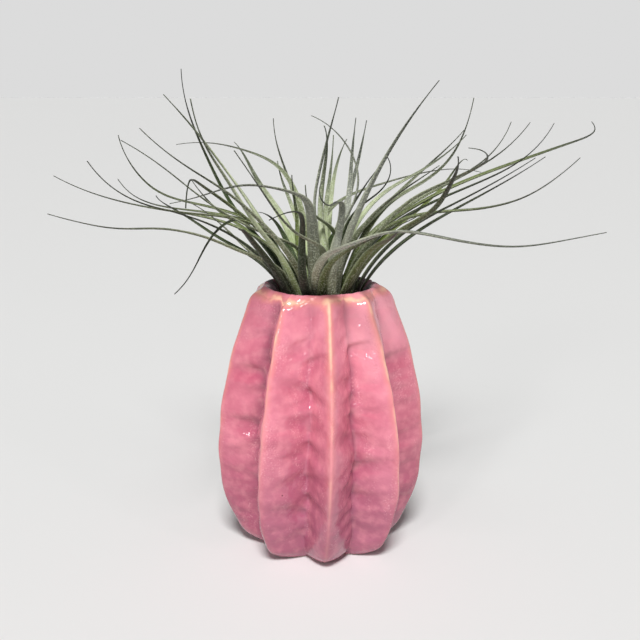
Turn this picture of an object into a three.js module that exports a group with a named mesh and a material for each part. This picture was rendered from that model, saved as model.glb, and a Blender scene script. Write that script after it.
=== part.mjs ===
// An air plant (a tillandsia) that stands loose in the mouth of a ribbed ceramic vase.
// Millimetres, +Z up. The origin is the middle of the vase's flat foot, and -Y is the front.
// Azimuths are in degrees from the front towards +X, and leans are from upright.

import * as THREE from "three";

// Vase: a slip-cast body with eight sharp upright ribs, pressed by hand and glazed pink.
const VASE_HEIGHT = 105.5;
const VALLEY_WALL = 4.5; // thickness of the wall under a valley
const RIDGE_WALL = 6; // thickness of the wall under a ridge
const STEPS_PER_RIB = 6; // columns of faces from one ridge to the next

// The outer wall from the foot to the lip: height, radius on a ridge, radius in a valley.
const OUTER_WALL = [
  [0, 22.7, 17.5],
  [1.5, 26, 19.3],
  [5, 30.8, 21.8],
  [11, 34.3, 23.5],
  [17, 36.9, 24.8],
  [23, 38.6, 25.8],
  [29, 39.9, 26.6],
  [36, 40.4, 27.2],
  [43, 40.7, 27.5],
  [50, 40.4, 27.6],
  [57, 39.9, 27.5],
  [64, 38.8, 27.2],
  [71, 37.5, 26.8],
  [78, 35.8, 26.2],
  [85, 33.8, 25.4],
  [91, 31.8, 24.6],
  [96, 29.8, 23.8],
  [100, 28.4, 23.2],
  [102.5, 27.2, 22.8],
  [104.3, 25.1, 22.2],
];
// The lip rolls over into the mouth, and the throat under it is what holds the plant.
const LIP = [
  [VASE_HEIGHT, 21.4],
  [104.8, 19.8],
  [103, 18.1],
  [101, 16.8],
  [97, 16.8],
];
// The inside below the throat: height, and how much of the ribs' shape shows there.
const INNER_WALL = [
  [88, 0.55],
  [78, 0.85],
  [64, 1],
  [50, 1],
  [36, 1],
  [23, 1],
  [13, 0.9],
];
const FLOOR = { z: 7, ridge: 18, valley: 15 }; // the edge of the inside's floor

// Each ridge's azimuth at the foot, at mid height and at the lip, and that of the valley after it: the
// potter's hand left them uneven.
const RIDGE_AZIMUTHS = [
  [4, 6, 7],
  [50, 46, 41],
  [94, 88, 92],
  [139, 133, 132],
  [184, 183, 182],
  [229, 234, 244],
  [275, 285, 287],
  [321, 328, 330],
];
const VALLEY_AZIMUTHS = [
  [31, 26.5, 24],
  [72, 66, 64],
  [117, 110, 111],
  [162, 158, 157],
  [206, 208, 211],
  [252, 259, 266],
  [298, 306, 320],
  [344, 351, 351],
];

// Finger dents, one above the other on each flank: their heights, from the front ridge's right flank round.
const DENTS = [
  [88, 74, 53, 33, 21],
  [86, 62, 51, 41, 28],
  [83, 74, 64, 43, 30],
  [78, 58, 46, 33, 20],
  [85, 70, 56, 38, 25],
  [80, 66, 49, 36, 22],
  [87, 72, 60, 44, 31],
  [77, 63, 47, 34, 21],
  [84, 71, 54, 42, 27],
  [88, 68, 57, 39, 24],
  [79, 65, 50, 37, 23],
  [86, 73, 61, 45, 30],
  [88, 75, 53, 43, 32],
  [80, 66, 50, 37, 24],
  [87, 73, 59, 36, 23],
  [82, 68, 48, 37, 27],
];
const DENT_DEPTH = 1.5;
const DENT_REACH = 6.5; // up and down from a dent's middle

// Plant: 56 leaves on a short stem, each a golden angle on from the last.
const GOLDEN_ANGLE = 137.508;
const NECK_HEIGHT = 104; // where the leaves leave the vase
const INNERMOST = 2.6;
const OUTERMOST = 16.6; // radii of the leaf bundle at the neck
const CROWN_HEIGHT = 98; // apex of the stem's cone
const CROWN_DROP = 21; // from the apex down to the outermost leaf's root
const ROOT_SHARE = 0.7; // the bundle's radius at the outermost roots, as a share of that at the neck
const ROOT_LIFT = 1.4; // a root's end above the stem
const STEM_UNDERSIDE = 67;
const STUMP_RADIUS = 4;
const STUMP_FLARE = [5.5, 72]; // radius and height where the stump widens into the cone
const STEM_SIDES = 20;

const LEAF_STEP = 7; // between two sections of a leaf
const SHEATH_STEP = 9; // the same below the neck
const FEWEST_STEPS = 8;
const SUBSTEPS = 5; // of the line between two sections
const LEAF_THICKNESS = 1.1;
const TIP_THICKNESS = 0.6;
const TIP_WIDTH = 0.8;
const CHANNEL = 0.24; // depth of a leaf's channel, as a share of its width
const SHEATH_CHANNEL = 0.15; // share of that depth at the root
const NECK_CHANNEL = 0.35; // and at the neck
const TAPER = 1.05;

// One row a leaf, from the innermost out: length above the neck, width, then its lean at evenly
// spaced places from the neck to the tip, and how far its heading has turned at evenly spaced places.
const LEAVES = [
  [75, 4, [0, -15, 10, 20, 35], [-65, -120]],
  [45, 4.5, [20, 15, 0, 15, 25], [30, 85]],
  [75, 3.5, [5, 5, 30, 15, -20, -45, -70], [35, 60]],
  [115, 3, [5, 40, 70, 80, 80, 85, 105], [-45, -70, -100]],
  [100, 3, [0, 65, 60, 50, 65], [-25, -75]],
  [60, 4, [30, -15, -65, -60, -20], [45, 70]],
  [135, 3, [20, 70, 85, 65, 60], [-10, -45]],
  [70, 4, [10, -20, 10, 35, 60], [5, -35]],
  [60, 4, [0, -10, 20, 30, 20], [5, 15]],
  [115, 3, [25, 40, 50, 60, 70, 80, 100, 120], [20, 60, 70]],
  [60, 3, [5, 0, 15, 40, 55, 25, -50], [-10, -15, -15]],
  [60, 4, [5, 30, 45, 55, 50], [-5, -20]],
  [100, 5.5, [10, 20, 45, 70, 80, 105, 100], [5, -45, -75]],
  [100, 4, [5, 40, 70, 70, 65], [5, 20]],
  [105, 3, [20, 60, 80, 75, 60], [10, 10]],
  [75, 4, [15, 35, 50, 60, 60], [0, 0]],
  [60, 4, [20, 50, 40, 35, 45], [-50, -90]],
  [110, 3, [10, 55, 80, 70, 35], [-5, 0]],
  [180, 4, [10, 50, 65, 75, 80, 85, 85, 80], [5, 30, 55, 85]],
  [130, 3, [20, 75, 90, 85, 65], [0, -20]],
  [100, 3, [15, 65, 70, 45, 40], [-30, -55]],
  [95, 4, [20, 55, 55, 60, 60], [-20, -5]],
  [85, 2.8, [15, 25, 55, 95, 115, 135, 120], [25, 55, 30]],
  [125, 3, [10, 40, 45, 65, 70, 75, 75, 85], [-10, -45, -100]],
  [120, 3.5, [10, 35, 75, 85, 100], [20, 40]],
  [105, 3.5, [35, 50, 55, 60, 45], [-10, -35]],
  [110, 4, [15, 55, 75, 65, 20], [20, -5]],
  [90, 5, [20, 30, 35, 40, 55], [25, 80]],
  [95, 4.8, [15, 30, 35, 40, 45], [10, 20]],
  [85, 4.5, [25, 50, 45, 45, 55], [-5, 5]],
  [110, 3.2, [20, 65, 65, 75, 85, 75, 70], [10, 15]],
  [105, 4.5, [5, 35, 70, 85, 75, 55, 45], [0, -25]],
  [45, 4, [20, 40, 55, 75, 95], [-10, -5]],
  [135, 4.5, [40, 55, 70, 70, 95, 95, 80, 80], [40, 75, 100]],
  [115, 4, [25, 60, 70, 65, 40], [-10, -20]],
  [50, 3, [30, 50, 45, 50, 65], [0, 5]],
  [105, 5.5, [30, 45, 60, 65, 55, 65, 70], [-10, -35, -60]],
  [75, 4, [40, 50, 30, 25, 0], [30, 60]],
  [95, 3.5, [25, 45, 40, 45, 25], [0, 25]],
  [100, 4, [5, 50, 65, 60, 25], [-20, -20]],
  [100, 3.5, [35, 50, 35, 25, 0], [-5, 10]],
  [65, 5, [5, 25, 20, 20, 25, 70, 95, 45, -60], [5, 10, -25, -45, -70]],
  [80, 4, [30, 25, 40, 50, 55], [20, 20]],
  [65, 4, [25, 45, 60, 70, 75], [5, 20]],
  [85, 4, [25, 45, 60, 60, 55], [0, 0]],
  [95, 5.5, [25, 55, 65, 60, 80], [0, -5]],
  [75, 4, [50, 40, 30, 45, 60, 75, 90, 105], [20, 10, -25]],
  [110, 3, [25, 65, 70, 70, 105], [25, 45]],
  [80, 3, [35, 65, 65, 80, 85], [-20, -65]],
  [85, 4.5, [30, 55, 75, 75, 80], [-25, -40]],
  [90, 3.5, [30, 35, 60, 70, 75], [0, -5]],
  [75, 4.5, [30, 50, 65, 80, 80], [40, 55]],
  [85, 4, [30, 50, 60, 60, 55], [0, 0]],
  [100, 3, [40, 70, 80, 75, 75], [-15, -25]],
  [70, 4, [30, 55, 65, 65, 65], [30, 45]],
  [125, 4, [25, 50, 75, 70, 50, 30], [0, 15]],
];

const glaze = new THREE.MeshStandardMaterial({ color: 0xe4849a, roughness: 0.25, metalness: 0 });
const bark = new THREE.MeshStandardMaterial({ color: 0x5b5240, roughness: 0.9, metalness: 0 });
const YOUNG_LEAF = new THREE.Color(0xa9b882);
const OLD_LEAF = new THREE.Color(0x5f6549);
const LEAF_ROUGHNESS = 0.75;

const { clamp, degToRad, radToDeg, lerp } = THREE.MathUtils;

// A smooth curve through evenly spaced values, at t from 0 to 1.
function smooth(values, t) {
  const last = values.length - 1;
  const i = Math.min(Math.floor(t * last), last - 1);
  const u = t * last - i;
  const b = values[i];
  const c = values[i + 1];
  const a = i > 0 ? values[i - 1] : 2 * b - c;
  const d = i < last - 1 ? values[i + 2] : 2 * c - b;
  return b + 0.5 * u * (c - a + u * (2 * a - 5 * b + 4 * c - d + u * (3 * (b - c) + d - a)));
}

// The point at a radius and azimuth from the vase's axis.
function around(radius, azimuth, z) {
  return new THREE.Vector3(radius * Math.sin(degToRad(azimuth)), -radius * Math.cos(degToRad(azimuth)), z);
}

// The azimuth at a height of the ridge or valley with this number. After the last one comes the first again.
function azimuthOf(number, azimuths, z) {
  const turns = Math.floor(number / azimuths.length);
  return 360 * turns + smooth(azimuths[number % azimuths.length], clamp(z / VASE_HEIGHT, 0, 1));
}

// How far a flank is pressed in. The way down it is 0 on the ridge and 1 in the valley.
function dent(flank, down, z) {
  const across = Math.sin(Math.PI * down ** 2) ** 2;
  const off = Math.min(...DENTS[flank % DENTS.length].map((height) => Math.abs(z - height))) / DENT_REACH;
  return DENT_DEPTH * across * Math.max(0, 1 - off ** 2) ** 2;
}

// A point of a ring. The share is 0 on the rib's ridge, 0.5 in the valley after it and 1 on the next ridge.
function wallPoint(ring, rib, share) {
  const { z, ridge, valley, dented } = ring;
  const next = share < 0.5 ? 0 : 1;
  const down = 1 - Math.abs(2 * share - 1);
  const azimuth = lerp(azimuthOf(rib + next, RIDGE_AZIMUTHS, z), azimuthOf(rib, VALLEY_AZIMUTHS, z), down);
  const radius = lerp(ridge, valley, down);
  return around(radius - (dented ? dent(2 * rib + next, down, z) : 0), azimuth, z);
}

// A ring of the inside: it follows the outer wall's valleys, and its ridges as far as ribbed says.
function innerRing([z, ribbed]) {
  const k = OUTER_WALL.findIndex(([height]) => height >= z);
  const [lowZ, lowRidge, lowValley] = OUTER_WALL[k - 1];
  const [highZ, highRidge, highValley] = OUTER_WALL[k];
  const t = (z - lowZ) / (highZ - lowZ);
  const valley = lerp(lowValley, highValley, t) - VALLEY_WALL;
  return { z, valley, ridge: lerp(valley, lerp(lowRidge, highRidge, t) - RIDGE_WALL, ribbed) };
}

// The wall's rings, from the middle of the underside round the lip to the middle of the floor.
function vaseRings() {
  const outer = OUTER_WALL.map(([z, ridge, valley]) => ({ z, ridge, valley, dented: true }));
  const lip = LIP.map(([z, radius]) => ({ z, ridge: radius, valley: radius }));
  const middle = (z) => ({ z, ridge: 0, valley: 0 });
  return [middle(0), ...outer, ...lip, ...INNER_WALL.map(innerRing), FLOOR, middle(FLOOR.z)];
}

// A lathed blank whose columns of vertices are then moved into the ribs.
function vaseGeometry() {
  const rings = vaseRings();
  const blank = rings.map(({ z, ridge }) => new THREE.Vector2(ridge, z));
  const columns = RIDGE_AZIMUTHS.length * STEPS_PER_RIB;
  const geometry = new THREE.LatheGeometry(blank, columns);
  const position = geometry.getAttribute("position");
  for (let column = 0; column <= columns; column++) {
    const rib = Math.floor(column / STEPS_PER_RIB);
    const share = (column % STEPS_PER_RIB) / STEPS_PER_RIB;
    rings.forEach((ring, row) => {
      position.setXYZ(column * rings.length + row, ...wallPoint(ring, rib, share));
    });
  }
  return geometry;
}

// The radius at the neck of a leaf, so that all leaves share the bundle's area alike.
function neckRadius(order) {
  return Math.sqrt(lerp(INNERMOST ** 2, OUTERMOST ** 2, order / LEAVES.length));
}

// The stem's cone under the leaf that has this radius at the neck.
function crownHeight(neck) {
  return CROWN_HEIGHT - CROWN_DROP * (neck / OUTERMOST);
}

// Below the neck the whole bundle draws in, at each height by the same share.
function drawnIn(z) {
  const lowest = CROWN_HEIGHT - CROWN_DROP;
  return lerp(ROOT_SHARE, 1, ((z - lowest) / (NECK_HEIGHT - lowest)) ** 2);
}

// The way that a leaf heads at a lean.
function direction(lean, heading) {
  return around(Math.sin(degToRad(lean)), heading, Math.cos(degToRad(lean)));
}

// A leaf's middle line, as stations from the root to the tip. Along is 0 at the neck and 1 at the tip.
function leafLine(order, length, leans, turns) {
  const azimuth = (GOLDEN_ANGLE * order) % 360;
  const neck = neckRadius(order);
  const root = crownHeight(neck) + ROOT_LIFT;
  const sheathSteps = Math.max(1, Math.round((NECK_HEIGHT - root) / SHEATH_STEP));
  const stations = [];
  for (let i = 0; i < sheathSteps; i++) {
    const z = lerp(root, NECK_HEIGHT, i / sheathSteps);
    const lean = radToDeg(Math.atan(neck * (drawnIn(z + 1) - drawnIn(z))));
    const along = (z - NECK_HEIGHT) / length;
    stations.push({ point: around(neck * drawnIn(z), azimuth, z), lean, heading: azimuth, along });
  }
  const steps = SUBSTEPS * Math.max(FEWEST_STEPS, Math.round(length / LEAF_STEP), 2 * leans.length - 1);
  const point = around(neck, azimuth, NECK_HEIGHT);
  for (let i = 0; i <= steps; i++) {
    const along = i / steps;
    const lean = smooth(leans, along);
    const heading = azimuth + smooth([0, ...turns], along);
    if (i % SUBSTEPS === 0) stations.push({ point: point.clone(), lean, heading, along });
    point.addScaledVector(direction(lean, heading), length / steps);
  }
  return stations;
}

// A section of the blade: its two edges, with the keel under it and the groove on top.
function leafSection({ point, lean, heading, along }, width) {
  const left = (1 - Math.max(0, along)) ** TAPER;
  const half = Math.max(TIP_WIDTH, width * left) / 2;
  const thick = lerp(TIP_THICKNESS, LEAF_THICKNESS, left) / 2;
  const open = clamp(NECK_CHANNEL + 3 * along, SHEATH_CHANNEL, 1);
  const sink = CHANNEL * half * open;
  const side = around(1, heading + 90, 0);
  const under = side.clone().cross(direction(lean, heading));
  const at = (across, down) => point.clone().addScaledVector(side, across).addScaledVector(under, down);
  return [at(-half, -sink), at(0, sink + thick), at(half, -sink), at(0, sink - thick)];
}

function leafGeometry(order, [length, width, leans, turns]) {
  const sections = leafLine(order, length, leans, turns).map((station) => leafSection(station, width));
  const vertices = sections.flat();
  const index = [0, 3, 1, 1, 3, 2];
  for (let first = 0; first < vertices.length - 4; first += 4) {
    for (let corner = 0; corner < 4; corner++) {
      const a = first + corner;
      const b = first + ((corner + 1) % 4);
      index.push(a, b, b + 4, a, b + 4, a + 4);
    }
  }
  const tip = vertices.length - 4;
  index.push(tip, tip + 1, tip + 3, tip + 1, tip + 2, tip + 3);
  return new THREE.BufferGeometry().setFromPoints(vertices).setIndex(index);
}

// A short stump that widens into the cone under the leaves' roots.
function stemGeometry() {
  const profile = [[0, STEM_UNDERSIDE], [STUMP_RADIUS, STEM_UNDERSIDE], STUMP_FLARE];
  for (const share of [1, 0.75, 0.5, 0.25, 0]) {
    const neck = OUTERMOST * share;
    profile.push([neck * drawnIn(crownHeight(neck)), crownHeight(neck)]);
  }
  const points = profile.map(([radius, z]) => new THREE.Vector2(radius, z));
  return new THREE.LatheGeometry(points, STEM_SIDES).rotateX(Math.PI / 2);
}

const part = new THREE.Group();

function add(name, geometry, material) {
  const mesh = new THREE.Mesh(geometry, material);
  mesh.name = name;
  part.add(mesh);
}

add("vase", vaseGeometry(), glaze);
add("stem", stemGeometry(), bark);
LEAVES.forEach((leaf, i) => {
  const color = YOUNG_LEAF.clone().lerp(OLD_LEAF, i / LEAVES.length);
  const blade = new THREE.MeshStandardMaterial({ color, roughness: LEAF_ROUGHNESS, metalness: 0 });
  add("leaf_" + String(i + 1).padStart(2, "0"), leafGeometry(i + 1, leaf), blade);
});

export default part;
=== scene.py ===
from math import atan, atan2, cos, degrees, hypot, pi, radians, sin, sqrt

import bmesh
import bpy
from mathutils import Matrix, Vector, geometry, noise


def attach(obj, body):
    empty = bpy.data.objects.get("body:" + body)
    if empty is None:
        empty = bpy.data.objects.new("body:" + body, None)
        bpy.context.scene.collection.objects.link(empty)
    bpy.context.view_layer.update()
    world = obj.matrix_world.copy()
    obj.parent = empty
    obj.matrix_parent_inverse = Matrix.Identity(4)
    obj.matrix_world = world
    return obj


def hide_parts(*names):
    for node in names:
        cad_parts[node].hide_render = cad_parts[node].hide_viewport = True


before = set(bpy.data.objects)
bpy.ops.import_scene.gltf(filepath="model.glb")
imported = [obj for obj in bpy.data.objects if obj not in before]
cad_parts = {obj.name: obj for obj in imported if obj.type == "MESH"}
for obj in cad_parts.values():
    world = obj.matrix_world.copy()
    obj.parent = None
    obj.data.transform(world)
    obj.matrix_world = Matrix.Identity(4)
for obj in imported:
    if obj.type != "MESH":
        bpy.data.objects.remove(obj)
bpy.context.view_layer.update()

# Vase: a slip-cast earthenware body with eight upright ribs, which the potter pinched by hand while it was
# leather hard. It is one skin, from the middle of the foot over the rolled lip to the middle of the inside's
# floor, and stands on its flat foot.
MM = 0.001
VASE_HEIGHT = 105.5
VALLEY_WALL = 4.5  # thickness of the wall under a valley
RIDGE_WALL = 6

# The outer wall from the foot to the lip: height, radius on a ridge, radius in a valley.
OUTER_WALL = [
    (0, 22.7, 17.5), (1.5, 26, 19.3), (5, 30.8, 21.8), (11, 34.3, 23.5), (17, 36.9, 24.8),
    (23, 38.6, 25.8), (29, 39.9, 26.6), (36, 40.4, 27.2), (43, 40.7, 27.5), (50, 40.4, 27.6),
    (57, 39.9, 27.5), (64, 38.8, 27.2), (71, 37.5, 26.8), (78, 35.8, 26.2), (85, 33.8, 25.4),
    (91, 31.8, 24.6), (96, 29.8, 23.8), (100, 28.4, 23.2), (102.5, 27.2, 22.8), (104.3, 25.1, 22.2),
]
LIP = [(105.5, 21.4), (104.8, 19.8), (103, 18.1), (101, 16.8), (97, 16.8)]  # height, radius
# The inside under the throat: height, and how far it follows the ribs.
INNER_WALL = [(88, 0.55), (78, 0.85), (64, 1), (50, 1), (36, 1), (23, 1), (13, 0.9)]
FLOOR = (7, 18, 15)  # height, radius on a ridge, radius in a valley
PROFILE_STEPS = 8  # from one row of these lists to the next

# Azimuths from the front at the foot, at mid height and at the lip: of each ridge, and of the valley after.
RIDGE_AZIMUTHS = [
    (4, 6, 7), (50, 46, 41), (94, 88, 92), (139, 133, 132),
    (184, 183, 182), (229, 234, 244), (275, 285, 287), (321, 328, 330),
]
VALLEY_AZIMUTHS = [
    (31, 26.5, 24), (72, 66, 64), (117, 110, 111), (162, 158, 157),
    (206, 208, 211), (252, 259, 266), (298, 306, 320), (344, 351, 351),
]
COLUMNS_PER_RIB = 24
COLUMN_CROWDING = 0.7  # how far the columns crowd to the ridges and valleys, where the form turns
ON_RIDGE = 1e-4  # a column this close to a ridge, in ribs, is on it
MERGED = 0.001  # points this close are one
RIDGE_ROUNDING = 0.05  # of a flank's width
FOOT_ROUNDING = 0.2  # the same at the foot, where the ridges are blunt
FOOT_BLUNT = 15  # height at which the ridges have become sharp
VALLEY_ROUNDINGS = (0.18, 0.22, 0.22, 0.22, 0.22, 0.22, 0.22, 0.4)  # valley by valley

# Finger dents, one above the other on each flank: their heights, from the front ridge's right flank round.
DENTS = [
    (88, 74, 53, 33, 21), (86, 62, 51, 41, 28), (83, 74, 64, 43, 30), (78, 58, 46, 33, 20),
    (85, 70, 56, 38, 25), (80, 66, 49, 36, 22), (87, 72, 60, 44, 31), (77, 63, 47, 34, 21),
    (84, 71, 54, 42, 27), (88, 68, 57, 39, 24), (79, 65, 50, 37, 23), (86, 73, 61, 45, 30),
    (88, 75, 53, 43, 32), (80, 66, 50, 37, 24), (87, 73, 59, 36, 23), (82, 68, 48, 37, 27),
]
DENT_DEPTH = 2.2
DENT_MEAN, DENT_SPREAD = 0.75, 0.25  # of that depth: the mean dent, and how far the others are from it
DENT_ABOVE, DENT_BELOW = 3.2, 6  # reach over and under its deepest place, where the finger slid down
DENT_SLANT = 5  # rise across a flank, at most
SLANT_PIVOT = 0.6  # how far down its flank a slanting dent is at the height above
SLANT_CHANGE, DEPTH_CHANGE = 2.1, 1.7  # radians for each mm of height, so that no dent is like the next
FINGER_LEAN = 1.4  # over 1, the fingers' dents, left of a valley, lie nearer to it than to the ridge
THUMB_REACH = 1.3  # across, in flanks: the thumb's dents, right of a valley, go on over it

# The small unevenness of a hand-worked wall: broad waves, lumps, wrinkles, and valleys and ridges that stray
# from their lines.
FOOT_FREE, LIP_FREE = 12, 8  # heights over which it fades out above the foot and below the lip
UNEVEN_DEPTH, UNEVEN_SIZE, UNEVEN_OCTAVES = 1.0, 9, 2
LUMP_DEPTH, LUMP_SIZE = 0.3, 4
WRINKLE_DEPTH = 0.95
WRINKLE_SIZE = (9, 9, 3.4)  # wider than high
CALM_FROM, CALM_OVER = 70, 15  # the wall gets smoother from this height, over this much
CALM_SHARE = 0.25  # what is left of the lumps and wrinkles above that
WANDER = 1.3  # degrees that a valley strays to either side
WANDER_LENGTH, WANDER_SHIFT = 5.5, 2.3  # height for each radian of its sine, radians from valley to valley
RIDGE_WAVE = 0.35  # how far a ridge sinks in its waves
RIDGE_WAVE_LENGTH, RIDGE_WAVE_SHIFT = 3.1, 1.7  # as for the valleys

# How the glaze lies on the form.
GLAZE_OVER_RIDGES = (0.22, 0.4, 0.5, 0.3, 0.5, 0.6, 0.5, 0.6)  # how much of each ridge's thin edge it hides
GROOVE_WIDTHS = (1.6, 2.2, 2.5, 2.5, 2.5, 2.5, 2.5, 2.5, 2.5, 2.5, 2.5, 2.5, 4.5, 4, 1.5, 3)  # on each flank
GROOVE_SHADES = (0.8, 1, 1, 1, 1, 1, 1, 0.3)  # how dark its pooled glaze and painted shade are in each valley, from 0 to 1

LIP_DIPS = (0, 0.4, 0.2, 0.8, 0.3, 0.6, 0.5, 2.2)  # how far the lip sinks at each ridge
LIP_WAVE = 2.4  # the most that it sinks besides, in short waves where the clay was pressed
LIP_WAVE_CIRCLE = 5.5  # radius of the circle in the noise that gives them; a wider one has more waves
DIP_BELOW, DIP_INSIDE = 14, 8  # how far along the wall a dip fades out, outside and inside the lip


def lerp(a, b, t):
    return a + (b - a) * t


def clamp(t):
    return min(max(t, 0), 1)


def smooth(values, t):
    """A smooth curve through evenly spaced values, at t from 0 to 1."""
    last = len(values) - 1
    i = min(int(t * last), last - 1)
    u = t * last - i
    b, c = values[i], values[i + 1]
    a = values[i - 1] if i > 0 else 2 * b - c
    d = values[i + 2] if i < last - 1 else 2 * c - b
    return b + 0.5 * u * (c - a + u * (2 * a - 5 * b + 4 * c - d + u * (3 * (b - c) + d - a)))


def around(radius, azimuth, z):
    """The point at a radius and azimuth from the vase's axis."""
    return Vector((radius * sin(radians(azimuth)), -radius * cos(radians(azimuth)), z))


def azimuth_of(number, azimuths, z):
    """The azimuth at a height of the ridge or valley with this number. The first follows the last."""
    turns = number // len(azimuths)
    return 360 * turns + smooth(azimuths[number % len(azimuths)], clamp(z / VASE_HEIGHT))


def dent(flank, down, z):
    """How far a flank's dents press the wall in. The way down it is 0 on the ridge and 1 in the valley."""
    deepest = 0
    for height in DENTS[flank]:
        above = z - height - DENT_SLANT * (down - SLANT_PIVOT) * sin(SLANT_CHANGE * height + flank)
        off = above / (DENT_ABOVE if above > 0 else DENT_BELOW)
        depth = DENT_MEAN + DENT_SPREAD * sin(DEPTH_CHANGE * height)
        deepest = max(deepest, max(0, 1 - off**2) ** 2 * depth)
    across = min(down / THUMB_REACH, 1) if flank % 2 else down**FINGER_LEAN
    return DENT_DEPTH * sin(pi * across) * deepest


def rib_form(down, z, valley):
    """1 on a ridge and 0 in a valley, both rounded as wet clay rounds them."""
    blunt = lerp(FOOT_ROUNDING, RIDGE_ROUNDING, clamp(z / FOOT_BLUNT))
    ridge = 1 + blunt - hypot(down, blunt)
    return (hypot(ridge, valley) - valley) / (hypot(1, valley) - valley)


def inner_row(z, ribbed):
    """A row of the inside, which follows the outer valleys, and the ridges as far as ribbed says."""
    k = next(i for i, row in enumerate(OUTER_WALL) if row[0] >= z)
    low, high = OUTER_WALL[k - 1], OUTER_WALL[k]
    t = (z - low[0]) / (high[0] - low[0])
    valley = lerp(low[2], high[2], t) - VALLEY_WALL
    return z, lerp(valley, lerp(low[1], high[1], t) - RIDGE_WALL, ribbed), valley


def smooth_profile(rows, steps):
    """More rows on a smooth line through these (height, ridge, valley) rows, however they are spaced."""
    points = [Vector((ridge, valley, z)) for z, ridge, valley in rows]
    line = [points[0]]
    for i in range(len(points) - 1):
        b, c = points[i], points[i + 1]
        a = points[i - 1] if i else b
        d = points[i + 2] if i + 2 < len(points) else c
        reach = (c - b).length
        leave = (c - a) * reach / (3 * max((c - b).length + (b - a).length, 1e-6))
        arrive = (d - b) * reach / (3 * max((d - c).length + (c - b).length, 1e-6))
        line += geometry.interpolate_bezier(b, b + leave, c - arrive, c, steps + 1)[1:]
    return line


vase_bm = bmesh.new()
ridge_radius = vase_bm.verts.layers.float.new("ridge_radius")
valley_radius = vase_bm.verts.layers.float.new("valley_radius")
outside = vase_bm.verts.layers.float.new("outside")  # 1 on the outer wall, where the dents are
past_lip = vase_bm.verts.layers.float.new("past_lip")  # along the profile from the lip's edge, + inwards
to_ridge = vase_bm.verts.layers.float.new("to_ridge")  # across the wall, to the nearest ridge
groove_pool_and_shade = vase_bm.verts.layers.float.new("groove_pool_and_shade")  # 0 on the flanks to 1 in a valley
pressed = vase_bm.verts.layers.float.new("pressed")  # how far the wall is pressed in

walls = smooth_profile(
    OUTER_WALL + [(z, r, r) for z, r in LIP] + [inner_row(*row) for row in INNER_WALL] + [FLOOR],
    PROFILE_STEPS,
)
outer_rings = (len(OUTER_WALL) - 1) * PROFILE_STEPS + 1
walked = [0]
for a, b in zip(walls, walls[1:]):
    walked.append(walked[-1] + hypot(b.x - a.x, b.z - a.z))
line = [vase_bm.verts.new((0, 0, 0))]
for i, row in enumerate(walls):
    v = vase_bm.verts.new((0, -row.x, row.z))
    v[ridge_radius], v[valley_radius] = row.x, row.y
    v[outside] = 1 if i < outer_rings else 0
    v[past_lip] = walked[i] - walked[outer_rings - 1]
    line.append(v)
line.append(vase_bm.verts.new((0, 0, FLOOR[0])))
line[0][outside], line[0][past_lip], line[-1][past_lip] = 1, -walked[outer_rings], walked[-1]
edges = [vase_bm.edges.new(pair) for pair in zip(line, line[1:])]
bmesh.ops.spin(
    vase_bm, geom=line + edges, cent=(0, 0, 0), axis=(0, 0, 1), angle=2 * pi,
    steps=COLUMNS_PER_RIB * len(RIDGE_AZIMUTHS), use_merge=True,
)
bmesh.ops.remove_doubles(vase_bm, verts=vase_bm.verts, dist=MERGED)
for v in vase_bm.verts:
    z = v.co.z
    turn = (degrees(atan2(v.co.x, -v.co.y)) % 360) / 360 * len(RIDGE_AZIMUTHS)
    rib = int(turn + ON_RIDGE)
    share = max(turn - rib, 0)
    share -= COLUMN_CROWDING * sin(4 * pi * share) / (4 * pi)
    rising = int(share >= 0.5)  # 1 on the flank that rises from the valley to the next ridge
    flank = 2 * rib + rising
    ridge, other = (rib + rising) % len(RIDGE_AZIMUTHS), (rib + 1 - rising) % len(RIDGE_AZIMUTHS)
    down = 1 - abs(2 * share - 1)
    from_ridge = azimuth_of(rib + rising, RIDGE_AZIMUTHS, z)
    to_valley = azimuth_of(rib, VALLEY_AZIMUTHS, z)
    radius = lerp(v[valley_radius], v[ridge_radius], rib_form(down, z, VALLEY_ROUNDINGS[rib]))
    flank_width = radians(abs(to_valley - from_ridge)) * radius
    v[to_ridge] = down * flank_width + GLAZE_OVER_RIDGES[ridge]
    # Each valley's darkening: pooled glaze and painted shade of the deep groove.
    v[groove_pool_and_shade] = GROOVE_SHADES[rib] * max(0, 1 - (1 - down) * flank_width / GROOVE_WIDTHS[flank])
    worked = v[outside] * clamp(min(z / FOOT_FREE, (VASE_HEIGHT - z) / LIP_FREE))
    to_valley += WANDER * worked * sin(z / WANDER_LENGTH + WANDER_SHIFT * rib)
    azimuth = lerp(from_ridge, to_valley, down)
    if v[outside]:
        place = around(radius, azimuth, z)
        uneven = UNEVEN_DEPTH * noise.fractal(place / UNEVEN_SIZE, 1, 2, UNEVEN_OCTAVES) * sin(pi * down / 2)
        lumps = LUMP_DEPTH * noise.noise(place / LUMP_SIZE) * sin(pi * down / 2)
        wrinkle = Vector(c / size for c, size in zip(place, WRINKLE_SIZE))
        wrinkles = WRINKLE_DEPTH * noise.noise(wrinkle) * clamp(2 * down)
        calm = lerp(1, CALM_SHARE, clamp((z - CALM_FROM) / CALM_OVER))
        dents = dent(flank, down, z)
        if not rising:
            dents = max(dents, dent(flank + 1, 2 - down, z))
        v[pressed] = dents + worked * (uneven + calm * (lumps + wrinkles))
        swing = sin(z / RIDGE_WAVE_LENGTH + RIDGE_WAVE_SHIFT * ridge)
        wave = RIDGE_WAVE * (1 - down) * (0.5 + 0.5 * swing)
        radius -= v[pressed] + worked * wave
    faded = v[past_lip] / DIP_INSIDE if v[past_lip] > 0 else -v[past_lip] / DIP_BELOW
    dip = lerp(LIP_DIPS[ridge], LIP_DIPS[other], down / 2)
    dip += LIP_WAVE * abs(noise.noise(around(LIP_WAVE_CIRCLE, azimuth, 0)))
    v.co = around(radius, azimuth, z - dip * max(0, 1 - faded) ** 2) * MM
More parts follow.
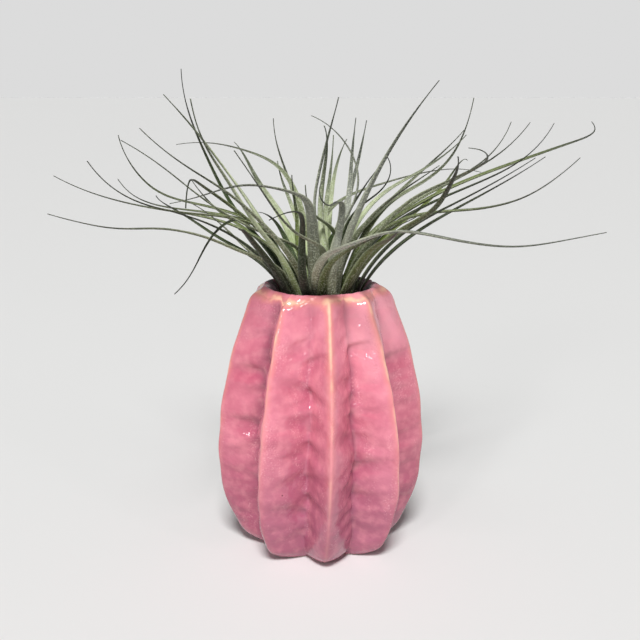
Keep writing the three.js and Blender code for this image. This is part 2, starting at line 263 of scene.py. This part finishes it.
bmesh.ops.recalc_face_normals(vase_bm, faces=vase_bm.faces)
for face in vase_bm.faces:
    face.smooth = True
vase_mesh = bpy.data.meshes.new("ribbed_vase")
vase_bm.to_mesh(vase_mesh)
vase_bm.free()
vase = bpy.data.objects.new("ribbed_vase", vase_mesh)
bpy.context.collection.objects.link(vase)


def linear(code):
    """An sRGB hex value as the linear colour that a shader takes."""
    channels = [int(code[i : i + 2], 16) / 255 for i in (1, 3, 5)]
    return [c / 12.92 if c <= 0.04045 else ((c + 0.055) / 1.055) ** 2.4 for c in channels] + [1]


def node(owner, kind, inputs=None, **settings):
    """Adds a node with its settings, and sets its sockets or links them to other nodes' outputs."""
    tree = owner.node_tree
    made = tree.nodes.new(kind)
    for name, value in settings.items():
        setattr(made, name, value)
    for socket, value in (inputs or {}).items():
        if isinstance(value, bpy.types.NodeSocket):
            tree.links.new(value, made.inputs[socket])
        else:
            made.inputs[socket].default_value = value
    return made


# Pink gloss glaze over pale earthenware: glass, so it shines and is smooth but for a faint orange peel. It
# runs thin on the ridges and the lip, where it breaks to peach and cream, and pools deeper in the valleys.
# The foot is wiped bare. Shade is painted into its colour as well, and a sheen at the top right.
GLAZE_IOR = 1.52
GLAZE_ROUGHNESS, CLAY_ROUGHNESS = 0.1, 0.85
RIDGE_RAGGED, LIP_RAGGED = 1.6, 3.5  # how far noise moves the thin glaze's border on a ridge and the lip
LIP_BAND = 0.6  # under 1, the lip's thin band is wider than a ridge's
SHADE_OVER_BACK = 8  # how much further out the painted shade's border is at the back than at the front
SHADE_RAGGED = 6  # how far noise moves it
RIDGES_END = 6  # added to the distance from a ridge past the lip, so that no ridge's line crosses it
EDGE_BLEND = 0.8  # where a ridge's line meets the lip's band
GRAIN_SHARE = 0.24
PINHOLE_DEPTH = 1.5  # in heights of the orange peel

glaze = bpy.data.materials.new("pink_gloss_glaze")
glaze.use_nodes = True
glaze.node_tree.nodes.clear()
spot = node(glaze, "ShaderNodeTexCoord").outputs["Object"]
tall = node(glaze, "ShaderNodeMapping", {"Vector": spot, "Scale": (1, 1, 0.3)}).outputs[0]
axes = node(glaze, "ShaderNodeSeparateXYZ", {"Vector": spot}).outputs
form = {
    name: node(glaze, "ShaderNodeAttribute", attribute_name=name).outputs["Fac"]
    for name in ("to_ridge", "past_lip", "groove_pool_and_shade", "pressed")
}
# The glaze's patterns: coordinates, size and detail.
pattern = {
    name: node(
        glaze, "ShaderNodeTexNoise", {"Vector": where, "Scale": 1 / (size * MM), "Detail": detail}
    ).outputs["Fac"]
    for name, where, size, detail in [
        ("patches", spot, 16, 3), ("streaks", spot, 12, 1), ("pits", tall, 6, 2),
        ("mottle", spot, 4, 4), ("peel", spot, 1.6, 1), ("grain", spot, 0.7, 1),
    ]
}

# How far it is to a thin edge, a ridge or the lip, with a ragged border.
ragged = node(glaze, "ShaderNodeMath", {0: pattern["mottle"], 1: 0.5}, operation="SUBTRACT").outputs[0]
near_ridge = node(
    glaze, "ShaderNodeMath", {0: ragged, 1: RIDGE_RAGGED, 2: form["to_ridge"]}, operation="MULTIPLY_ADD"
).outputs[0]
over_lip = node(
    glaze, "ShaderNodeMapRange",
    {"Value": form["past_lip"], "From Min": -0.5, "From Max": 1.5, "To Max": RIDGES_END},
).outputs[0]
near_ridge = node(glaze, "ShaderNodeMath", {0: near_ridge, 1: over_lip}, operation="ADD").outputs[0]
near_lip = node(glaze, "ShaderNodeMath", {0: form["past_lip"]}, operation="ABSOLUTE").outputs[0]
near_lip = node(glaze, "ShaderNodeMath", {0: near_lip, 1: LIP_BAND}, operation="MULTIPLY").outputs[0]
near_lip = node(
    glaze, "ShaderNodeMath", {0: ragged, 1: LIP_RAGGED, 2: near_lip}, operation="MULTIPLY_ADD"
).outputs[0]
near_edge = node(
    glaze, "ShaderNodeMath", {0: near_ridge, 1: near_lip, 2: EDGE_BLEND}, operation="SMOOTH_MIN"
).outputs[0]

# Painted shade: the coat is deeper along its sides, away from the front, and most on the left, for the shade
# of a light from the front.
aside = node(glaze, "ShaderNodeMath", {0: axes["X"], 1: 4 * MM}, operation="SUBTRACT").outputs[0]
aside = node(glaze, "ShaderNodeMath", {0: aside}, operation="ABSOLUTE").outputs[0]

# Painted shade: the inside, and the back of the lip a little way down outside, are dark plum for shade
# there.
painted_inside_shade = node(
    glaze, "ShaderNodeMapRange",
    {"Value": axes["Y"], "From Min": 2 * MM, "From Max": 12 * MM, "To Max": SHADE_OVER_BACK},
).outputs[0]
painted_inside_shade = node(glaze, "ShaderNodeMath", {0: painted_inside_shade, 1: form["past_lip"]}, operation="ADD").outputs[0]
painted_inside_shade = node(
    glaze, "ShaderNodeMath", {0: ragged, 1: SHADE_RAGGED, 2: painted_inside_shade}, operation="MULTIPLY_ADD"
).outputs[0]

# A few single pinholes of about 0.5 mm stayed open.
pinhole = node(
    glaze, "ShaderNodeTexVoronoi", {"Vector": spot, "Scale": 1 / (16 * MM), "Randomness": 1}
).outputs["Distance"]

# Where each coat of colour shows: what it follows, from where to where, and its least and greatest share.
# The glaze is deeper away from the ridges. The grooves and dents are darker by pooled glaze and painted
# shade, the lower part by the glaze's run and painted shade, and the sides by painted shade. The top of its
# right side is lighter by a painted sheen. The foot is wiped up to 0.3 mm.
shown = {
    name: node(
        glaze, "ShaderNodeMapRange",
        {"Value": follows, "From Min": start, "From Max": end, "To Min": least, "To Max": most},
        interpolation_type=blend,
    ).outputs[0]
    for blend, rows in {
        "SMOOTHSTEP": [
            ("patchy", pattern["patches"], 0.35, 0.65, 0, 1),
            ("pooled", form["to_ridge"], 5, 12, 0, 0.6),
            ("pooled_and_shaded_grooves", form["groove_pool_and_shade"], 0, 1, 0, 0.75),
            ("pooled_and_shaded_dents", form["pressed"], 0.3, 1.7, 0, 0.3),
            ("run_and_low_shade", axes["Z"], 66 * MM, 10 * MM, 0, 0.8),
            ("painted_top_sheen", axes["Z"], 72 * MM, 92 * MM, 0, 0.52),
            ("right", axes["X"], 2 * MM, 16 * MM, 0.1, 1),
            ("painted_side_shade", aside, 23 * MM, 31 * MM, 0, 0.24),
            ("milky", pattern["mottle"], 0.4, 0.75, 0, 0.25),
            ("broken", pattern["streaks"], 0.42, 0.58, 0.1, 1),
            ("halo", near_edge, 2.8, 0.5, 0, 0.6),
            ("thin", near_edge, 1.3, -0.1, 0, 1),
            ("painted_inside_shade", painted_inside_shade, 5, 7.5, 0, 1),
        ],
        "LINEAR": [
            ("upper", axes["Z"], 20 * MM, 95 * MM, 0.1, 1),
            ("pitted", pattern["pits"], 0.53, 0.68, 0, GRAIN_SHARE),
            ("pale_grain", pattern["grain"], 0.56, 0.7, 0, 1),
            ("dark_grain", pattern["grain"], 0.44, 0.3, 0, 1),
            ("pinhole", pinhole, 0.013, 0.022, 1, 0),
            ("wiped", axes["Z"], 0.1 * MM, 0.3 * MM, 1, 0),
        ],
    }.items()
    for name, follows, start, end, least, most in rows
}
for name, only in [
    ("painted_top_sheen", "right"), ("halo", "upper"), ("thin", "upper"), ("thin", "broken"),
    ("pale_grain", "pitted"), ("dark_grain", "pitted"),
]:
    shown[name] = node(
        glaze, "ShaderNodeMath", {0: shown[name], 1: shown[only]}, operation="MULTIPLY"
    ).outputs[0]

# The coats of colour, one over the other. The grain is fine pale and dark specks in upright streaks, where
# gas broke through and half healed.
coat = linear("#CC7084")
for name, code in [
    ("patchy", "#E18799"), ("pooled", "#B15E75"), ("pooled_and_shaded_grooves", "#863A52"), ("pooled_and_shaded_dents", "#A84C69"),
    ("run_and_low_shade", "#98526C"), ("painted_top_sheen", "#FBAEBA"), ("painted_side_shade", "#A83454"), ("milky", "#F4A3AA"),
    ("pale_grain", "#FCC6CA"), ("dark_grain", "#B0506A"), ("halo", "#F09A8C"), ("thin", "#F9C9AA"),
    ("pinhole", "#6E2F3F"), ("painted_inside_shade", "#4A1C2C"), ("wiped", "#E2CDB4"),
]:
    coat = node(
        glaze, "ShaderNodeMix", {"Factor": shown[name], "A": coat, "B": linear(code)}, data_type="RGBA"
    ).outputs["Result"]
roughness = node(
    glaze, "ShaderNodeMapRange",
    {"Value": shown["wiped"], "To Min": GLAZE_ROUGHNESS, "To Max": CLAY_ROUGHNESS},
).outputs[0]
surface = node(
    glaze, "ShaderNodeMath", {0: shown["pinhole"], 1: -PINHOLE_DEPTH, 2: pattern["peel"]},
    operation="MULTIPLY_ADD",
).outputs[0]
relief = node(
    glaze, "ShaderNodeBump", {"Height": surface, "Strength": 0.8, "Distance": 0.25 * MM}
).outputs["Normal"]
shader = node(
    glaze, "ShaderNodeBsdfPrincipled",
    {"Base Color": coat, "Roughness": roughness, "IOR": GLAZE_IOR, "Normal": relief},
)
node(glaze, "ShaderNodeOutputMaterial", {"Surface": shader.outputs[0]})
vase_mesh.materials.append(glaze)
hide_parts("vase")
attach(vase, "root")

# Stem: the short brown stump that all the leaves grow from, dry and corky. It hangs inside the vase, held up
# by the leaves around it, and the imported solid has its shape.
FIBRE_SIZE = 0.8
bark = bpy.data.materials.new("corky_stem")
bark.use_nodes = True
bark.node_tree.nodes.clear()
spot = node(bark, "ShaderNodeTexCoord").outputs["Object"]
tall = node(bark, "ShaderNodeMapping", {"Vector": spot, "Scale": (1, 1, 0.2)}).outputs[0]
fibres = node(
    bark, "ShaderNodeTexNoise", {"Vector": tall, "Scale": 1 / (FIBRE_SIZE * MM), "Detail": 5}
).outputs["Fac"]
colour = node(
    bark, "ShaderNodeMix", {"Factor": fibres, "A": linear("#3A2E1F"), "B": linear("#7A6B50")},
    data_type="RGBA",
).outputs["Result"]
relief = node(
    bark, "ShaderNodeBump", {"Height": fibres, "Strength": 0.6, "Distance": 0.3 * MM}
).outputs["Normal"]
shader = node(
    bark, "ShaderNodeBsdfPrincipled", {"Base Color": colour, "Roughness": 0.9, "Normal": relief}
)
node(bark, "ShaderNodeOutputMaterial", {"Surface": shader.outputs[0]})
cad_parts["stem"].data.materials.clear()
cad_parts["stem"].data.materials.append(bark)

# Leaves: 56 long narrow blades, each a golden angle on from the last, with a channel down the upper side and
# a tip as thin as a thread. They are living tissue under a coat of silver scales, and their sheaths overlap
# in the vase's throat.
GOLDEN_ANGLE = 137.508
NECK_HEIGHT = 104  # where the leaves leave the vase
INNERMOST, OUTERMOST = 2.6, 16.6  # radii of the leaf bundle at the neck
CROWN_HEIGHT = 98  # apex of the stem's cone
CROWN_DROP = 21  # from it down to the outermost leaf's root
ROOT_SHARE = 0.7  # the bundle's radius at the outermost roots, as a share of that at the neck
ROOT_LIFT = 1.4  # a root's end above the stem
LEAF_STEP = 7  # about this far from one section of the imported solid's leaf to the next
FEWEST_STEPS = 8  # of those
SUBSTEPS = 5  # from one of them to the next
SHEATH_RINGS = 6  # below the neck
LEAF_THICKNESS, TIP_THICKNESS = 1.0, 0.22
TIP_WIDTH = 0.42
TAPER = 0.93  # power of the length that is left, which gives the width
CHANNEL = 0.24  # how far the middle sinks and the edges rise, as a share of half the width
SHEATH_CHANNEL, NECK_CHANNEL = 0.15, 0.35  # shares of that at the root and at the neck
CHANNEL_GAIN = 3  # and how fast it grows to the full depth, for each length of the leaf
SECTION_POINTS = 14

# A leaf's colour near the vase, along its blade and towards its tip, how bright its keeled underside is
# under painted shade, and how thickly the scales cover it.
TONES = {
    "silver": ("#88896F", "#95988D", "#3A3E38", 0.95, 1),
    "sage": ("#636A42", "#7C8563", "#2F3427", 0.75, 0.8),
    "pale": ("#93A56A", "#BAC49C", "#4E5543", 0.85, 1),
    "spring": ("#66772A", "#93A650", "#384024", 0.65, 0.5),
    "olive": ("#4A571E", "#66743A", "#262B19", 0.6, 0.5),
    # The deep tone is partly painted shade: near-black tissue for leaves that lie in the crowd's shade.
    "deep": ("#1B2A08", "#314318", "#1A1D11", 0.45, 0.2),
}
NEAR_AT, BLADE_AT, TIP_AT = 0.08, 0.35, 0.75  # where each colour is reached, 0 at the neck and 1 at the tip
# The sheaths' dark brown is partly their own colour and partly painted shade of the vase's throat.
SHEATH_TONE = "#474B2B"
KEEL_LEVEL = 0.3  # where the keeled side begins, from -1 on the channelled side to 1
KEEL_AT_NECK = 0.8  # how bright that painted shade leaves it at the neck, as a share of its brightness on the blade
RIM_TONE = "#CDD2B4"  # a leaf's thin edges, where the scales stand out as a fringe
RIM_SHARE, RIM_POWER = 0.55, 8  # how pale the very edge is, and how quickly that fades inwards
RIM_FROM = 0.1  # where the rim is fully there, from 0 at the neck
WORN_FROM, WORN_OVER = 0.45, 0.4  # the scales wear off towards the tip, from here over this much
WORN_SHARE = 0.7  # share of them that is gone there

# One row a leaf, from the innermost out: tone, length above the neck, width, then its lean at evenly spaced
# places from the neck to the tip, and how far its heading has turned at evenly spaced places.
LEAVES = [
    ("silver", 75, 4, (0, -15, 10, 20, 35), (-65, -120)),
    ("spring", 45, 4.5, (20, 15, 0, 15, 25), (30, 85)),
    ("silver", 75, 3.5, (5, 5, 30, 15, -20, -45, -70), (35, 60)),
    ("sage", 115, 3, (5, 40, 70, 80, 80, 85, 105), (-45, -70, -100)),
    ("sage", 100, 3, (0, 65, 60, 50, 65), (-25, -75)),
    ("pale", 60, 4, (30, -15, -65, -60, -20), (45, 70)),
    ("olive", 135, 3, (20, 70, 85, 65, 60), (-10, -45)),
    ("pale", 70, 4, (10, -20, 10, 35, 60), (5, -35)),
    ("pale", 60, 4, (0, -10, 20, 30, 20), (5, 15)),
    ("olive", 115, 3, (25, 40, 50, 60, 70, 80, 100, 120), (20, 60, 70)),
    ("deep", 60, 3, (5, 0, 15, 40, 55, 25, -50), (-10, -15, -15)),
    ("pale", 60, 4, (5, 30, 45, 55, 50), (-5, -20)),
    ("silver", 100, 5.5, (10, 20, 45, 70, 80, 105, 100), (5, -45, -75)),
    ("pale", 100, 4, (5, 40, 70, 70, 65), (5, 20)),
    ("olive", 105, 3, (20, 60, 80, 75, 60), (10, 10)),
    ("sage", 75, 4, (15, 35, 50, 60, 60), (0, 0)),
    ("deep", 60, 4, (20, 50, 40, 35, 45), (-50, -90)),
    ("olive", 110, 3, (10, 55, 80, 70, 35), (-5, 0)),
    ("olive", 180, 4, (10, 50, 65, 75, 80, 85, 85, 80), (5, 30, 55, 85)),
    ("olive", 130, 3, (20, 75, 90, 85, 65), (0, -20)),
    ("sage", 100, 3, (15, 65, 70, 45, 40), (-30, -55)),
    ("sage", 95, 4, (20, 55, 55, 60, 60), (-20, -5)),
    ("deep", 85, 2.8, (15, 25, 55, 95, 115, 135, 120), (25, 55, 30)),
    ("sage", 125, 3, (10, 40, 45, 65, 70, 75, 75, 85), (-10, -45, -100)),
    ("sage", 120, 3.5, (10, 35, 75, 85, 100), (20, 40)),
    ("sage", 105, 3.5, (35, 50, 55, 60, 45), (-10, -35)),
    ("sage", 110, 4, (15, 55, 75, 65, 20), (20, -5)),
    ("pale", 90, 5, (20, 30, 35, 40, 55), (25, 80)),
    ("silver", 95, 4.8, (15, 30, 35, 40, 45), (10, 20)),
    ("silver", 85, 4.5, (25, 50, 45, 45, 55), (-5, 5)),
    ("sage", 110, 3.2, (20, 65, 65, 75, 85, 75, 70), (10, 15)),
    ("olive", 105, 4.5, (5, 35, 70, 85, 75, 55, 45), (0, -25)),
    ("deep", 45, 4, (20, 40, 55, 75, 95), (-10, -5)),
    ("silver", 135, 4.5, (40, 55, 70, 70, 95, 95, 80, 80), (40, 75, 100)),
    ("olive", 115, 4, (25, 60, 70, 65, 40), (-10, -20)),
    ("sage", 50, 3, (30, 50, 45, 50, 65), (0, 5)),
    ("olive", 105, 5.5, (30, 45, 60, 65, 55, 65, 70), (-10, -35, -60)),
    ("sage", 75, 4, (40, 50, 30, 25, 0), (30, 60)),
    ("pale", 95, 3.5, (25, 45, 40, 45, 25), (0, 25)),
    ("deep", 100, 4, (5, 50, 65, 60, 25), (-20, -20)),
    ("deep", 100, 3.5, (35, 50, 35, 25, 0), (-5, 10)),
    ("silver", 65, 5, (5, 25, 20, 20, 25, 70, 95, 45, -60), (5, 10, -25, -45, -70)),
    ("silver", 80, 4, (30, 25, 40, 50, 55), (20, 20)),
    ("deep", 65, 4, (25, 45, 60, 70, 75), (5, 20)),
    ("deep", 85, 4, (25, 45, 60, 60, 55), (0, 0)),
    ("pale", 95, 5.5, (25, 55, 65, 60, 80), (0, -5)),
    ("deep", 75, 4, (50, 40, 30, 45, 60, 75, 90, 105), (20, 10, -25)),
    ("spring", 110, 3, (25, 65, 70, 70, 105), (25, 45)),
    ("deep", 80, 3, (35, 65, 65, 80, 85), (-20, -65)),
    ("olive", 85, 4.5, (30, 55, 75, 75, 80), (-25, -40)),
    ("pale", 90, 3.5, (30, 35, 60, 70, 75), (0, -5)),
    ("deep", 75, 4.5, (30, 50, 65, 80, 80), (40, 55)),
    ("deep", 85, 4, (30, 50, 60, 60, 55), (0, 0)),
    ("olive", 100, 3, (40, 70, 80, 75, 75), (-15, -25)),
    ("olive", 70, 4, (30, 55, 65, 65, 65), (30, 45)),
    ("sage", 125, 4, (25, 50, 75, 70, 50, 30), (0, 15)),
]


def crown_height(neck):
    """The stem's cone under the leaf that has this radius at the neck."""
    return CROWN_HEIGHT - CROWN_DROP * neck / OUTERMOST


def drawn_in(z):
    """Below the neck the whole bundle draws in, at each height by the same share."""
    lowest = CROWN_HEIGHT - CROWN_DROP
    return lerp(ROOT_SHARE, 1, ((z - lowest) / (NECK_HEIGHT - lowest)) ** 2)


def leaf_line(order, length, leans, turns):
    """A leaf's middle line, root to tip: point, direction, heading, and how far along the blade it is."""
    azimuth = (GOLDEN_ANGLE * order) % 360
    neck = sqrt(lerp(INNERMOST**2, OUTERMOST**2, order / len(LEAVES)))
    root = crown_height(neck) + ROOT_LIFT
    stations = []
    for i in range(SHEATH_RINGS):
        z = lerp(root, NECK_HEIGHT, i / SHEATH_RINGS)
        lean = atan(neck * (drawn_in(z + 1) - drawn_in(z)))
        way = around(sin(lean), azimuth, cos(lean))
        stations.append((around(neck * drawn_in(z), azimuth, z), way, azimuth, (z - NECK_HEIGHT) / length))
    steps = SUBSTEPS * max(FEWEST_STEPS, round(length / LEAF_STEP), 2 * len(leans) - 1)
    point = around(neck, azimuth, NECK_HEIGHT)
    for i in range(steps + 1):
        lean = radians(smooth(leans, i / steps))
        heading = azimuth + smooth((0, *turns), i / steps)
        way = around(sin(lean), heading, cos(lean))
        stations.append((point.copy(), way, heading, i / steps))
        point += way * (length / steps)
    return stations


def leaf_colour(sheath, near, blade, tip, s):
    """The tissue's colour along a leaf. The sheath is halfway between its tone and the one near the vase."""
    if s < NEAR_AT:
        return sheath.lerp(near, lerp(0.5, 1, clamp(s / NEAR_AT)))
    if s < BLADE_AT:
        return near.lerp(blade, (s - NEAR_AT) / (BLADE_AT - NEAR_AT))
    return blade.lerp(tip, clamp((s - BLADE_AT) / (TIP_AT - BLADE_AT)))


def leaf_mesh(name, order, tone, length, width, leans, turns):
    """One blade, drawn out ring by ring from a circle of points at its root."""
    bm = bmesh.new()
    across = bm.verts.layers.float.new("across")  # -1 on the left edge, 1 on the right
    level = bm.verts.layers.float.new("level")  # -1 on the channelled side, 1 on the keeled side
    along = bm.verts.layers.float.new("along")  # from the neck
    blade = bm.verts.layers.float_color.new("blade")  # the tissue's colour, and how thick the scales are
    ring = bmesh.ops.create_circle(bm, segments=SECTION_POINTS, radius=1)["verts"]
    for v in ring:
        v[across], v[level] = v.co.x, v.co.y
    edges = bm.edges[:]
    bmesh.ops.contextual_create(bm, geom=edges)
    *codes, keel_shade, cover = TONES[tone]
    *tones, rim = (Vector(linear(code)[:3]) for code in (SHEATH_TONE, *codes, RIM_TONE))
    for i, (point, way, heading, s) in enumerate(leaf_line(order, length, leans, turns)):
        if i:
            made = bmesh.ops.extrude_edge_only(bm, edges=edges)["geom"]
            ring = [v for v in made if isinstance(v, bmesh.types.BMVert)]
            edges = [e for e in made if isinstance(e, bmesh.types.BMEdge)]
        left = (1 - max(0, s)) ** TAPER
        half = max(TIP_WIDTH, width * left) / 2
        thick = lerp(TIP_THICKNESS, LEAF_THICKNESS, left) / 2
        sink = CHANNEL * half * min(max(NECK_CHANNEL + CHANNEL_GAIN * s, SHEATH_CHANNEL), 1)
        side = around(1, heading + 90, 0)
        under = side.cross(way)
        colour = leaf_colour(*tones, s)
        worn = cover * (1 - WORN_SHARE * clamp((s - WORN_FROM) / WORN_OVER))
        for v in ring:
            down = sink * (1 - 2 * v[across] ** 2) + thick * v[level]
            v.co = (point + side * half * v[across] + under * down) * MM
            v[along] = s * length
            # Painted shade: the keeled underside is darker, and darker still near the neck.
            shaded = keel_shade * min(KEEL_AT_NECK + s, 1) if v[level] > KEEL_LEVEL else 1
            fringe = RIM_SHARE * abs(v[across]) ** RIM_POWER * clamp(s / RIM_FROM)
            v[blade] = (*(colour * shaded).lerp(rim, fringe * worn), worn)
    bmesh.ops.contextual_create(bm, geom=edges)
    bmesh.ops.recalc_face_normals(bm, faces=bm.faces)
    for face in bm.faces:
        face.smooth = True
    mesh = bpy.data.meshes.new(name)
    bm.to_mesh(mesh)
    bm.free()
    return mesh


# Leaf skin: green tissue under silver scales of a tenth of a millimetre that drink the plant's water. They
# scatter light, so the leaf is matt and looks dusted. Old leaves have lost some. The scales are drawn as
# clumps of about 0.6 mm, because single ones are too fine to show.
CLUMP_SIZE, BLOTCH_SIZE = 0.6, 6
STREAK_SCALE = (2.4, 0.03, 1)  # across in half widths and along in mm: a streak is narrow and about 33 long
VEINS, VEIN_SHADE = 22, 0.07  # radians of a sine from the middle to an edge, so seven veins in all
SCALE_TONE = "#CDD2BC"


def leaf_skin(name, scales):
    """The skin of the leaves of one age, with the share of it that the scales can hide."""
    skin = bpy.data.materials.new(name)
    skin.use_nodes = True
    skin.node_tree.nodes.clear()
    spot = node(skin, "ShaderNodeTexCoord").outputs["Object"]
    blade = node(skin, "ShaderNodeAttribute", attribute_name="blade").outputs
    tissue, cover = blade["Color"], blade["Alpha"]
    across = node(skin, "ShaderNodeAttribute", attribute_name="across").outputs["Fac"]
    along = node(skin, "ShaderNodeAttribute", attribute_name="along").outputs["Fac"]
    blotches = node(
        skin, "ShaderNodeTexNoise", {"Vector": spot, "Scale": 1 / (BLOTCH_SIZE * MM), "Detail": 3}
    ).outputs["Fac"]
    blotches = node(
        skin, "ShaderNodeMapRange",
        {"Value": blotches, "From Min": 0.3, "From Max": 0.7, "To Min": 0.8, "To Max": 1.15},
    ).outputs[0]
    streaks = node(skin, "ShaderNodeCombineXYZ", {"X": across, "Y": along}).outputs[0]
    streaks = node(skin, "ShaderNodeMapping", {"Vector": streaks, "Scale": STREAK_SCALE}).outputs[0]
    streaks = node(skin, "ShaderNodeTexNoise", {"Vector": streaks, "Scale": 1, "Detail": 3}).outputs["Fac"]
    streaks = node(
        skin, "ShaderNodeMapRange",
        {"Value": streaks, "From Min": 0.3, "From Max": 0.7, "To Min": 0.62, "To Max": 1.3},
    ).outputs[0]
    shade = node(skin, "ShaderNodeMath", {0: blotches, 1: streaks}, operation="MULTIPLY").outputs[0]
    veins = node(skin, "ShaderNodeMath", {0: across, 1: VEINS}, operation="MULTIPLY").outputs[0]
    veins = node(skin, "ShaderNodeMath", {0: veins}, operation="SINE").outputs[0]
    shade = node(
        skin, "ShaderNodeMath", {0: veins, 1: VEIN_SHADE, 2: shade}, operation="MULTIPLY_ADD"
    ).outputs[0]
    tissue = node(
        skin, "ShaderNodeMix", {"Factor": 1, "A": tissue, "B": shade},
        data_type="RGBA", blend_type="MULTIPLY",
    ).outputs["Result"]
    clumps = node(
        skin, "ShaderNodeTexNoise", {"Vector": spot, "Scale": 1 / (CLUMP_SIZE * MM), "Detail": 2}
    ).outputs["Fac"]
    dusted = node(
        skin, "ShaderNodeMapRange", {"Value": clumps, "From Min": 0.52, "From Max": 0.6, "To Max": scales}
    ).outputs[0]
    dusted = node(skin, "ShaderNodeMath", {0: dusted, 1: cover}, operation="MULTIPLY").outputs[0]
    colour = node(
        skin, "ShaderNodeMix", {"Factor": dusted, "A": tissue, "B": linear(SCALE_TONE)}, data_type="RGBA"
    ).outputs["Result"]
    relief = node(
        skin, "ShaderNodeBump", {"Height": clumps, "Strength": 0.4, "Distance": 0.15 * MM}
    ).outputs["Normal"]
    shader = node(skin, "ShaderNodeBsdfPrincipled", {
        "Base Color": colour, "Roughness": 0.62, "Specular IOR Level": 0.25, "Sheen Weight": 0.06,
        "Normal": relief,
    })
    node(skin, "ShaderNodeOutputMaterial", {"Surface": shader.outputs[0]})
    return skin


# The three slots go by age, and age by order: the first leaves are the youngest and innermost.
LEAF_AGES = [
    (16, "leaf_young", leaf_skin("young_leaf_skin", 0.55)),
    (36, "leaf_grown", leaf_skin("grown_leaf_skin", 0.5)),
    (56, "leaf_old", leaf_skin("old_leaf_skin", 0.45)),
]
for order, leaf in enumerate(LEAVES, 1):
    number = f"{order:02d}"
    mesh = leaf_mesh("blade_" + number, order, *leaf)
    blade = bpy.data.objects.new("blade_" + number, mesh)
    bpy.context.collection.objects.link(blade)
    last, slot, skin = next(age for age in LEAF_AGES if order <= age[0])
    mesh.materials.append(skin)
    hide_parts("leaf_" + number)
    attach(blade, "root")

# Studio: a plain pale floor in a pale room, lit by a soft window high in front and a small soft box on each
# side. The camera stands where the photograph was taken from. Its sizes are in metres.
FLOOR_REACH = 6  # from the middle to each side
floor_bm = bmesh.new()
bmesh.ops.create_grid(floor_bm, x_segments=1, y_segments=1, size=FLOOR_REACH)
floor_mesh = bpy.data.meshes.new("floor")
floor_bm.to_mesh(floor_mesh)
floor_bm.free()
floor = bpy.data.objects.new("floor", floor_mesh)
bpy.context.collection.objects.link(floor)
paper = bpy.data.materials.new("pale_floor")
paper.use_nodes = True
paper.node_tree.nodes.clear()
shader = node(paper, "ShaderNodeBsdfPrincipled", {"Base Color": linear("#E3E3E2"), "Roughness": 0.9})
node(paper, "ShaderNodeOutputMaterial", {"Surface": shader.outputs[0]})
floor_mesh.materials.append(paper)

# The room's walls are brighter than its ceiling, which starts a little above the horizon.
WALL_LIGHT, CEILING_LIGHT = 0.715, 0.15
world = bpy.data.worlds.new("pale_room")
bpy.context.scene.world = world
world.use_nodes = True
world.node_tree.nodes.clear()
way = node(world, "ShaderNodeTexCoord").outputs["Generated"]
up = node(world, "ShaderNodeSeparateXYZ", {"Vector": way}).outputs["Z"]
bright = node(
    world, "ShaderNodeMapRange",
    {"Value": up, "From Min": 0.06, "From Max": 0.12, "To Min": WALL_LIGHT, "To Max": CEILING_LIGHT},
    interpolation_type="SMOOTHSTEP",
).outputs[0]
room = node(world, "ShaderNodeBackground", {"Color": (1, 1, 1, 1), "Strength": bright})
node(world, "ShaderNodeOutputWorld", {"Surface": room.outputs[0]})

# Name, kind, azimuth from the front and height above the horizon in degrees, size, strength. A sun's size is
# the angle that it fills, and a box's its width and height.
LAMPS = [
    ("window", "SUN", -1, 51, 15, 3.35),
    ("left_box", "AREA", -24, 26, (0.1, 0.12), 1.6),
    ("right_box", "AREA", 44, 32, (0.05, 0.12), 0.4),
]
LAMP_DISTANCE = 1.2
for name, kind, azimuth, height, size, power in LAMPS:
    light = bpy.data.lights.new(name, kind)
    light.energy = power
    if kind == "SUN":
        light.angle = radians(size)
    else:
        light.shape, (light.size, light.size_y) = "RECTANGLE", size
    lamp = bpy.data.objects.new(name, light)
    lamp.location = around(cos(radians(height)), azimuth, sin(radians(height))) * LAMP_DISTANCE
    lamp.rotation_euler = lamp.location.to_track_quat("Z", "Y").to_euler()
    bpy.context.collection.objects.link(lamp)

CAMERA_PLACE = (0, -0.4, 0.187)
CAMERA_PITCH = 13.5  # degrees that it looks down
CAMERA_LENS, FILM_WIDTH = 59.7, 36  # millimetres
CAMERA_NEAREST = 0.01
camera = bpy.data.objects.new("camera", bpy.data.cameras.new("camera"))
camera.data.lens, camera.data.sensor_width = CAMERA_LENS, FILM_WIDTH
camera.data.clip_start = CAMERA_NEAREST
camera.location = CAMERA_PLACE
camera.rotation_euler = (radians(90 - CAMERA_PITCH), 0, 0)
bpy.context.collection.objects.link(camera)
bpy.context.scene.camera = camera
bpy.context.scene.view_settings.view_transform = "Standard"
